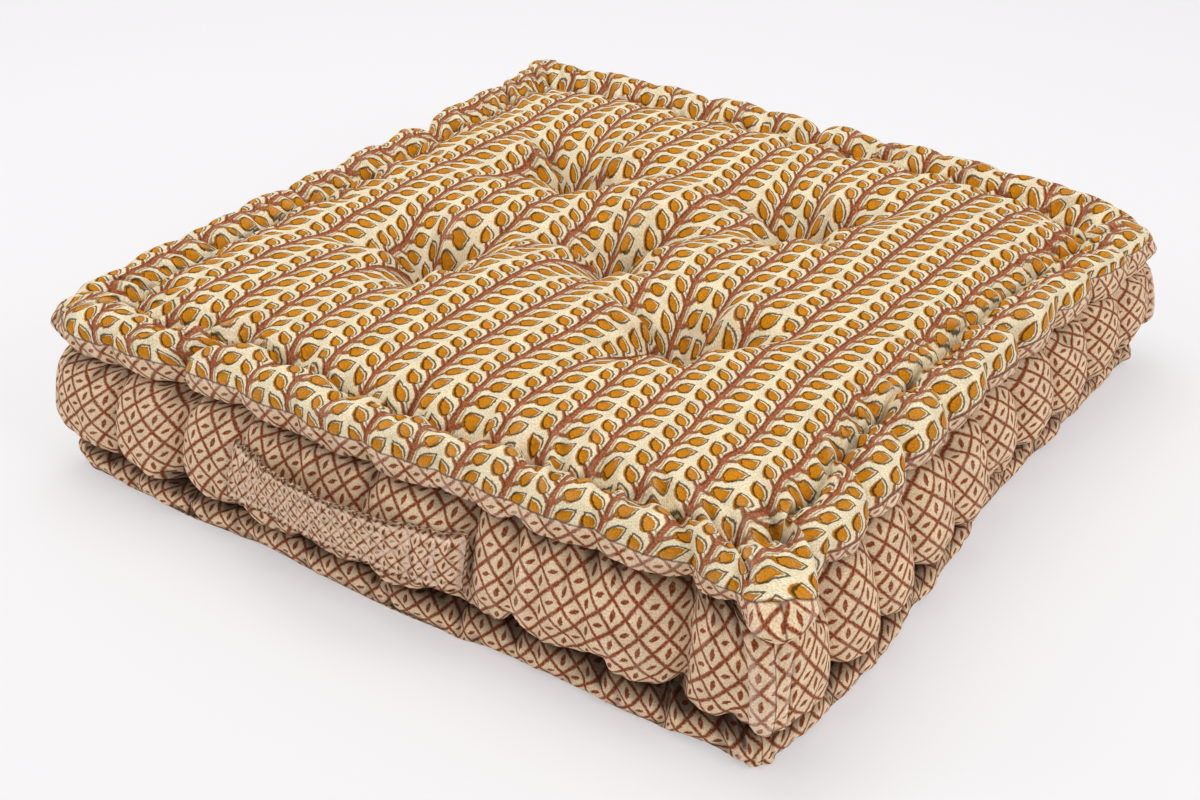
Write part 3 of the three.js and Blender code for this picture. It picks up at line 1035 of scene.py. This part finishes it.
def vine_pattern():
    """Distances to the edge of the leaves and of the stems, in millimetres, less than 0 inside."""
    tree, known = pattern_group("vine print", ["Leaf", "Stem"])
    along, turn = math.cos(LEAF_TURN), math.sin(LEAF_TURN)
    (from_x, from_y), (to_x, to_y) = STALK["from"], STALK["to"]
    length = math.hypot(to_x - from_x, to_y - from_y)
    stalk = ((to_x - from_x) / length, (to_y - from_y) / length, 0)
    half_leaf, half_stem = LEAF_PITCH / 2, VINE_PITCH / 2
    work_out(tree, known, [
        ("from stem", "WRAP", "x", half_stem, -half_stem),
        ("out", "ABSOLUTE", "from stem"),
        ("right", "GREATER_THAN", "from stem", 0.0),
        ("stagger", "MULTIPLY", "right", -LEAF_STAGGER),
        ("up", "ADD", "y", "stagger"),
        ("leaf x", "SUBTRACT", "out", LEAF["out"]),
        ("leaf y raw", "SUBTRACT", "up", LEAF["up"]),
        ("leaf y", "WRAP", "leaf y raw", half_leaf, -half_leaf),
        ("along x", "MULTIPLY", "leaf x", along),
        ("along", "MULTIPLY_ADD", "leaf y", turn, "along x"),
        ("across x", "MULTIPLY", "leaf x", turn),
        ("across", "MULTIPLY_ADD", "leaf y", -along, "across x"),
        ("share", "MULTIPLY_ADD", "along", 0.5 / LEAF["half_length"], 0.5),
        ("profile", "ShaderNodeFloatCurve", None, "share"),
        ("width", "MULTIPLY_ADD", "right", LEAF_WIDER, LEAF["half_width"]),
        ("half width", "MULTIPLY", "profile", "width"),
        ("beside", "ABSOLUTE", "across"),
        ("to edge", "SUBTRACT", "beside", "half width"),
        ("end", "ABSOLUTE", "along"),
        ("to end", "SUBTRACT", "end", LEAF["half_length"]),
        ("leaf", "MAXIMUM", "to edge", "to end"),
        ("stalk y raw", "SUBTRACT", "up", to_y / 2),
        ("stalk y wrapped", "WRAP", "stalk y raw", half_leaf, -half_leaf),
        ("stalk y", "ADD", "stalk y wrapped", to_y / 2 - from_y),
        ("stalk x", "SUBTRACT", "out", from_x),
        ("stalk", "ShaderNodeCombineXYZ", "stalk x", "stalk y"),
        ("run", "DOT_PRODUCT", "stalk", stalk),
        ("held", "MINMAX", "run", 0.0, length),
        ("axis", "SCALE", stalk, None, None, "held"),
        ("off", "DISTANCE", "stalk", "axis"),
        ("stalk half", "MULTIPLY_ADD", "held", -STALK["taper"], STALK["half_width"]),
        ("to stalk", "SUBTRACT", "off", "stalk half"),
        ("to stem", "SUBTRACT", "out", STEM_HALF),
        ("stem", "SMOOTH_MIN", "to stalk", "to stem", STALK_JOIN),
    ])
    curve = known["profile"].mapping.curves[0]
    curve.points[0].location, curve.points[1].location = LEAF_OUTLINE[0], LEAF_OUTLINE[-1]
    for point in LEAF_OUTLINE[1:-1]:
        curve.points.new(*point)
    known["profile"].mapping.update()
    add(tree, "NodeGroupOutput", {"Leaf": known["leaf"], "Stem": known["stem"]})
    return tree


# The lattice print, in millimetres: diamonds with a seed in each, upright and lying by turns
DIAMOND = (17.4, 17.4)
LINE_HALF = {"rising": 1.15, "falling": 1.1}
UPRIGHT_SEED = {"half_length": 3.9, "half_width": 1.6, "tilt": math.radians(78)}
LYING_SEED = {"half_length": 3.6, "half_width": 1.35, "tilt": math.radians(24)}


def lattice_pattern():
    """Distances to the edge of the lattice lines and of the seeds, in millimetres."""
    tree, known = pattern_group("lattice print", ["Line", "Seed"])
    wide, high = DIAMOND
    spacing = 1 / math.hypot(1 / wide, 1 / high)
    work_out(tree, known, [("over", "DIVIDE", "x", wide), ("up", "DIVIDE", "y", high)])
    for name, operation in (("falling", "ADD"), ("rising", "SUBTRACT")):
        work_out(tree, known, [
            ("place", operation, "over", "up"),
            ("near", "WRAP", "place", 0.5, -0.5),
            ("away", "ABSOLUTE", "near"),
            ("real", "MULTIPLY", "away", spacing),
            (name, "SUBTRACT", "real", LINE_HALF[name]),
        ])
    for name, seed, shift in (
        ("upright", UPRIGHT_SEED, (wide / 2, 0)),
        ("lying", LYING_SEED, (0, high / 2)),
    ):
        cos, sin = math.cos(seed["tilt"]), math.sin(seed["tilt"])
        work_out(tree, known, [
            ("x raw", "SUBTRACT", "x", shift[0]),
            ("y raw", "SUBTRACT", "y", shift[1]),
            ("sx", "WRAP", "x raw", wide / 2, -wide / 2),
            ("sy", "WRAP", "y raw", high / 2, -high / 2),
            ("along x", "MULTIPLY", "sx", cos / seed["half_length"]),
            ("along", "MULTIPLY_ADD", "sy", sin / seed["half_length"], "along x"),
            ("across x", "MULTIPLY", "sx", -sin),
            ("across", "MULTIPLY_ADD", "sy", cos, "across x"),
            ("square", "MULTIPLY", "along", "along"),
            ("width", "MULTIPLY_ADD", "square", -seed["half_width"], seed["half_width"]),
            ("beside", "ABSOLUTE", "across"),
            (name, "SUBTRACT", "beside", "width"),
        ])
    rows = [("line", "MINIMUM", "falling", "rising"), ("seed", "MINIMUM", "upright", "lying")]
    work_out(tree, known, rows)
    add(tree, "NodeGroupOutput", {"Line": known["line"], "Seed": known["seed"]})
    return tree


# How a print wanders on the cloth: bumps to the millimetre, their detail, and how far it strays.
# The first is the hand that sets the block, and the second the pile, which frays every edge.
PRINT_WANDERS = [(0.022, 1.0, 4.5), (0.5, 3.0, 1.9)]
# How soft the printed edges are, in millimetres to each side; and the same as a Map Range takes it,
# from the distance to an edge to the share of dye
SOFT = {"leaf": 0.45, "stem": 0.45, "leaf line": 0.4, "stem line": 0.5, "Line": 0.65, "Seed": 0.4}
PRINTED = {shape: (soft, -soft, 0.0, 1.0) for shape, soft in SOFT.items()}


def velvet_start(name):
    """A new material and its first nodes: flat, the place on the cut cloth in millimetres; place,
    the same as the print wanders; and took, how well the pile took the dye there."""
    material = bpy.data.materials.new(name)
    material.use_nodes = True
    tree = material.node_tree
    tree.nodes.clear()
    cut = add(tree, "ShaderNodeUVMap", uv_map="cut")
    flat = add(tree, VECTOR, {0: cut, "Scale": 1 / MM}, operation="SCALE")
    place = flat
    for per_mm, detail, reach in PRINT_WANDERS:
        wander = add(tree, NOISE, {"Vector": flat, "Scale": per_mm, "Detail": detail})
        centre = {0: wander.outputs["Color"], 1: (0.5, 0.5, 0.5)}
        stray = {0: add(tree, VECTOR, centre, operation="SUBTRACT"), 1: (reach, reach, 0.0), 2: place}
        place = add(tree, VECTOR, stray, operation="MULTIPLY_ADD")
    uneven = add(tree, NOISE, {"Vector": flat, "Scale": 0.75, "Detail": 2.0, "Roughness": 0.7})
    took = add(tree, RANGE, {0: uneven, 1: 0.36, 2: 0.56, 3: 0.8, 4: 1.0})
    return material, {"flat": flat, "place": place, "took": took}


def velvet_finish(tree, known, colour, rubbed_and_sheen_tone, worn_and_sheen_most, sheen, crush):
    """Cotton velvet, a short cut pile: it scatters light, goes pale where the pile is rubbed, with a
    painted sheen highlight on its ridges, and where it is seen along the surface, is painted dark as
    shade in creases, and has no gloss. The pile is drawn at 1 mm, because its real threads of 0.3 mm are
    too fine to show."""
    flat = known["flat"]
    known["pile"] = add(tree, NOISE, {"Vector": flat, "Scale": 1.0, "Detail": 2.0, "Roughness": 0.7})
    known["nap"] = add(tree, NOISE, {"Vector": flat, "Scale": 0.07, "Detail": 3.0, "Roughness": 0.55})
    for name in ("wear", "seam"):
        known[name] = add(tree, "ShaderNodeAttribute", attribute_name=name).outputs["Fac"]
    work_out(tree, known, [
        ("pile light", "LINEAR", "pile", 0.32, 0.68, 0.68, 1.24),
        ("nap light", "LINEAR", "nap", 0.3, 0.7, 0.84, 1.08),
        # painted shade: creases and gaps painted dark brown; worn: rubbed pile and a painted sheen
        # highlight on ridges
        ("sunk", "LINEAR", "wear", -0.1, -0.95, 0.0, 0.88),
        ("worn", "LINEAR", "wear", 0.15, 0.9, 0.0, worn_and_sheen_most),
        ("patchy", "MULTIPLY", "worn", "pile light"),
        # a seam's thread lies sunk between two panels, and is too fine to show but as a dark line
        ("sewn", "LINEAR", "seam", 0.74, 0.98, 0.0, 0.75),
        ("light", "MULTIPLY", "pile light", "nap light"),
    ])
    # crease: the dark brown of the painted shade in creases and gaps; thread: the dark line of a seam
    crease, thread = linear("#2C140A"), linear("#4A2C18")
    for share, tone in (("patchy", rubbed_and_sheen_tone), ("sunk", crease), ("sewn", thread)):
        colour = add(tree, MIX, {"Factor": known[share], "A": colour, "B": tone}, data_type="RGBA")
    fine = add(tree, BUMP, {"Strength": 0.7, "Distance": 0.9 * MM, "Height": known["pile"]})
    bumps = {"Strength": 0.6, "Distance": 2 * MM * crush, "Height": known["nap"], "Normal": fine}
    sockets = {
        "Base Color": add(tree, VECTOR, {0: colour, "Scale": known["light"]}, operation="SCALE"),
        "Roughness": 0.92,
        "Specular IOR Level": 0.06,
        "Sheen Weight": sheen,
        "Sheen Roughness": 0.35,
        "Sheen Tint": linear("#F4D0AC"),
        "Normal": add(tree, BUMP, bumps),
    }
    velvet = add(tree, "ShaderNodeBsdfPrincipled", sockets)
    add(tree, "ShaderNodeOutputMaterial", {"Surface": velvet})


# The block for the outlines is set down a little off the others, and its lines are this wide, in
# millimetres: half of a leaf's outline, half of a stem's, and how far those keep from the leaves
KEY_SHIFT = (-1.2, -1.2, 0)
LEAF_LINE_HALF = 0.7
STEM_LINE_HALF = 0.5
LINE_CLEAR = 0.3


def vine_velvet(colours):
    """The velvet of the top panel, printed with four blocks: stems, leaves, and the outlines of both."""
    material, known = velvet_start("cotton_velvet_vine_print")
    tree = material.node_tree
    pattern = vine_pattern()
    for block, shift in (("colour", (0, 0, 0)), ("key", KEY_SHIFT)):
        moved = add(tree, VECTOR, {0: known["place"], 1: shift}, operation="ADD")
        plate = add(tree, "ShaderNodeGroup", {0: moved}, node_tree=pattern)
        for shape in ("Leaf", "Stem"):
            known[f"{block} {shape}"] = plate.outputs[shape]
    work_out(tree, known, [
        ("stem", "SMOOTHSTEP", "colour Stem", *PRINTED["stem"]),
        ("stem dye", "MULTIPLY", "stem", "took"),
        ("leaf dye", "SMOOTHSTEP", "colour Leaf", *PRINTED["leaf"]),
        # the dye gathers at the edge of the block
        ("near edge", "LINEAR", "colour Leaf", -2.2, 0.2, 0.0, 0.55),
        ("leaf edge", "MULTIPLY", "near edge", "leaf dye"),
        ("from stem line", "ABSOLUTE", "key Stem"),
        ("to stem line", "SUBTRACT", "from stem line", STEM_LINE_HALF),
        ("stem line", "SMOOTHSTEP", "to stem line", *PRINTED["stem line"]),
        ("clear", "GREATER_THAN", "key Leaf", LINE_CLEAR),
        ("clear line", "MULTIPLY", "stem line", "clear"),
        ("faint line", "MULTIPLY", "clear line", 0.62),
        ("from leaf line", "ABSOLUTE", "key Leaf"),
        ("to leaf line", "SUBTRACT", "from leaf line", LEAF_LINE_HALF),
        ("leaf line", "SMOOTHSTEP", "to leaf line", *PRINTED["leaf line"]),
        ("firm line", "MULTIPLY", "leaf line", 0.88),
    ])
    colour = colours.cream
    for share, dye in (
        ("stem dye", colours.rust),
        ("leaf dye", colours.mustard),
        ("leaf edge", linear("#8A560F")),
        ("faint line", colours.outline),
        ("firm line", colours.outline),
    ):
        colour = add(tree, MIX, {"Factor": known[share], "A": colour, "B": dye}, data_type="RGBA")
    # pale tone of rubbed pile and of the painted sheen highlight on ridges
    velvet_finish(tree, known, colour, linear("#FAEED4"), worn_and_sheen_most=0.16, sheen=0.08, crush=1.0)
    return material


def lattice_velvet(colours, name, crush):
    """The velvet of the bands, base and strap, printed with one block. crush: how deep its nap is."""
    material, known = velvet_start(name)
    tree = material.node_tree
    pattern = add(tree, "ShaderNodeGroup", {0: known["place"]}, node_tree=lattice_pattern())
    colour = colours.beige
    for shape in ("Line", "Seed"):
        known[shape] = pattern.outputs[shape]
        work_out(tree, known, [
            ("printed", "SMOOTHSTEP", shape, *PRINTED[shape]),
            ("dye", "MULTIPLY", "printed", "took"),
        ])
        dyed = {"Factor": known["dye"], "A": colour, "B": colours.brick}
        colour = add(tree, MIX, dyed, data_type="RGBA")
    # pale tone of rubbed pile and of the painted sheen highlight on ridges
    velvet_finish(tree, known, colour, linear("#FAE0CC"), worn_and_sheen_most=0.6, sheen=0.16, crush=crush)
    return material


def cotton_thread(colours):
    """Waxed cotton sewing thread, spun and smooth: matt, with a faint shine from the wax. The
    twist is drawn at 0.8 mm, because the real one of 0.3 mm is too fine to show."""
    material = bpy.data.materials.new("waxed_cotton_thread")
    material.use_nodes = True
    tree = material.node_tree
    tree.nodes.clear()
    place = add(tree, "ShaderNodeTexCoord")
    twist = add(
        tree,
        "ShaderNodeTexWave",
        {"Vector": place.outputs["Object"], "Scale": 390.0, "Distortion": 2.0},
        bands_direction="DIAGONAL",
    )
    light = add(tree, RANGE, {"Value": twist, "To Min": 0.8, "To Max": 1.1})
    sockets = {
        "Base Color": add(tree, VECTOR, {0: colours.thread[:3], "Scale": light}, operation="SCALE"),
        "Roughness": 0.7,
        "Normal": add(tree, BUMP, {"Strength": 0.4, "Distance": 0.2 * MM, "Height": twist}),
    }
    thread = add(tree, "ShaderNodeBsdfPrincipled", sockets)
    add(tree, "ShaderNodeOutputMaterial", {"Surface": thread})
    return material


# ---- settings that a user would change -------------------------------------------------------


def colour_setting(name, description, hex_colour):
    """A setting that holds a colour."""
    return bpy.props.FloatVectorProperty(
        name=name, description=description, default=linear(hex_colour),
        subtype="COLOR", size=4, min=0, max=1,
    )


class CushionPrintSettings(bpy.types.PropertyGroup):
    """Colours of the printed velvet."""

    cream: colour_setting("Cream", "Ground of the vine print", "#F2E2BE")
    mustard: colour_setting("Mustard", "Leaves of the vine print", "#CF8519")
    rust: colour_setting("Rust", "Stems of the vine print", "#A04E22")
    outline: colour_setting("Outline", "Outline of the vine print", "#352C1A")
    beige: colour_setting("Beige", "Ground of the lattice print", "#ECD0AC")
    brick: colour_setting("Brick", "Lines and seeds of the lattice print", "#88350A")
    thread: colour_setting("Thread", "Sewing thread of the handle", "#D8C3A8")


class CushionCoverSettings(bpy.types.PropertyGroup):
    """How the cover is stuffed."""

    pressure: bpy.props.FloatProperty(
        name="Pressure", description="How hard the stuffing presses on the cloth", default=4.0, min=0,
    )
    swell: bpy.props.FloatProperty(
        name="Swell", description="How far the cloth may move while it is stuffed",
        unit="LENGTH", default=0.01, min=0,
    )


class CushionStageSettings(bpy.types.PropertyGroup):
    """Floor and camera."""

    floor: colour_setting("Floor", "Colour of the floor", "#B4B3B4")
    lens: bpy.props.FloatProperty(
        name="Lens", description="Focal length of the camera, in millimetres", default=54.25, min=10,
    )


class CUSHION_OT_cover(bpy.types.Operator):
    """Build the stuffed velvet cover"""

    bl_idname = "mesh.floor_cushion_cover"
    bl_label = "Cushion Cover"

    def execute(self, context):
        mesh, places = cover_mesh("cover")
        cover = new_object("cover", mesh)
        colours = context.scene.cushion_prints
        mesh.materials.append(vine_velvet(colours))
        mesh.materials.append(lattice_velvet(colours, "cotton_velvet_lattice_print", 1.0))
        stuff(cover, places, context.scene.cushion_cover)
        mark_seams(mesh, places)
        # painted shade in creases and gaps, and rubbed paleness with a painted sheen highlight on ridges
        mark_wear_sheen_and_shade(mesh, sewn_bends(places), shades(places))
        cover.modifiers.new("smooth cloth", "SUBSURF")
        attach(cover, "root")
        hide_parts("cushion")
        return {"FINISHED"}


class CUSHION_OT_handle(bpy.types.Operator):
    """Build the strap handle and its stitches"""

    bl_idname = "mesh.floor_cushion_handle"
    bl_label = "Strap Handle"

    def execute(self, context):
        cover = bpy.data.objects["cover"].data
        tree = BVHTree.FromPolygons([v.co for v in cover.vertices], [p.vertices for p in cover.polygons])
        colours = context.scene.cushion_prints
        mesh = strap_mesh("strap", tree)
        # the strap's wear, painted sheen highlight and painted crease shade, lifted paler all over
        mark_wear_sheen_and_shade(mesh, shade=[-STRAP_PALENESS] * len(mesh.vertices))
        mesh.materials.append(lattice_velvet(colours, "cotton_velvet_lattice_print_strap", 1.6))
        strap = new_object("strap", mesh)
        strap.modifiers.new("smooth cloth", "SUBSURF")
        thread = new_object("strap_stitches", thread_mesh("strap_stitches", tree))
        thread.data.materials.append(cotton_thread(colours))
        for piece in (strap, thread):
            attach(piece, "root")
        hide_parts("handle")
        return {"FINISHED"}


# The floor is matt white acrylic lit from below, as a photographer's table is, which softens shadows
FLOOR_SIZE = 8
FLOOR_ROUGHNESS = 0.9
FLOOR_GLOW = 0.93
# Where the camera stood, its sensor's width, the soft boxes round the cushion by place, size and
# power, what they are aimed at, and the white room's share of light
CAMERA_PLACE = Matrix(
    (
        (0.82386287, -0.28583924, 0.48943426, 0.66753),
        (0.56676525, 0.42340178, -0.70675886, -1.00401),
        (-0.00520792, 0.85966671, 0.51082876, 0.72467),
        (0, 0, 0, 1),
    )
)
SENSOR_WIDTH = 36
LIGHTS = [
    ("soft box above", (-0.35, 0.15, 2.1), 1.4, 16),
    ("soft box left", (-2.0, -1.6, 1.6), 1.2, 9),
    ("soft box right", (2.2, -0.4, 1.4), 1.2, 15),
]
AIMED_AT = Vector((0, 0, 0.08))
ROOM_LIGHT = 0.76


class CUSHION_OT_stage(bpy.types.Operator):
    """Build the floor, the light and the camera"""

    bl_idname = "mesh.floor_cushion_stage"
    bl_label = "Studio Stage"

    def execute(self, context):
        settings = context.scene.cushion_stage
        bm = bmesh.new()
        bmesh.ops.create_grid(bm, x_segments=1, y_segments=1, size=FLOOR_SIZE)
        mesh = to_mesh(bm, "floor")
        floor = new_object("floor", mesh)
        material = bpy.data.materials.new("matt_acrylic_light_table")
        material.use_nodes = True
        shader = material.node_tree.nodes["Principled BSDF"]
        shader.inputs["Base Color"].default_value = settings.floor
        shader.inputs["Roughness"].default_value = FLOOR_ROUGHNESS
        shader.inputs["Emission Color"].default_value = settings.floor
        shader.inputs["Emission Strength"].default_value = FLOOR_GLOW
        mesh.materials.append(material)
        camera = bpy.data.cameras.new("camera")
        camera.lens = settings.lens
        camera.sensor_width = SENSOR_WIDTH
        holder = new_object("camera", camera)
        holder.matrix_world = CAMERA_PLACE
        context.scene.camera = holder
        for name, place, size, power in LIGHTS:
            light = bpy.data.lights.new(name, "AREA")
            light.size = size
            light.energy = power
            lamp = new_object(name, light)
            lamp.location = place
            lamp.rotation_mode = "QUATERNION"
            lamp.rotation_quaternion = (AIMED_AT - Vector(place)).to_track_quat("-Z", "Y")
        world = bpy.data.worlds.new("studio")
        world.use_nodes = True
        background = world.node_tree.nodes["Background"]
        background.inputs["Color"].default_value = linear("#F3F2F3")
        background.inputs["Strength"].default_value = ROOM_LIGHT
        context.scene.world = world
        context.scene.view_settings.view_transform = "Standard"
        return {"FINISHED"}


class CUSHION_PT_panel(bpy.types.Panel):
    """Sidebar panel that lists the operators"""

    bl_idname = "CUSHION_PT_panel"
    bl_label = "Floor Cushion"
    bl_space_type = "VIEW_3D"
    bl_region_type = "UI"
    bl_category = "Floor Cushion"

    def draw(self, context):
        for operator in OPERATORS:
            self.layout.operator(operator.bl_idname)


SETTINGS = {
    "cushion_cover": CushionCoverSettings,
    "cushion_prints": CushionPrintSettings,
    "cushion_stage": CushionStageSettings,
}
OPERATORS = (CUSHION_OT_cover, CUSHION_OT_handle, CUSHION_OT_stage)


def register():
    for kind in (*SETTINGS.values(), *OPERATORS, CUSHION_PT_panel):
        bpy.utils.register_class(kind)
    for name, kind in SETTINGS.items():
        setattr(bpy.types.Scene, name, bpy.props.PointerProperty(type=kind))


def unregister():
    for name in SETTINGS:
        delattr(bpy.types.Scene, name)
    for kind in (CUSHION_PT_panel, *reversed(OPERATORS), *SETTINGS.values()):
        bpy.utils.unregister_class(kind)


def main():
    register()
    for operator in OPERATORS:
        group, name = operator.bl_idname.split(".")
        getattr(getattr(bpy.ops, group), name)()


if __name__ == "__main__":
    main()
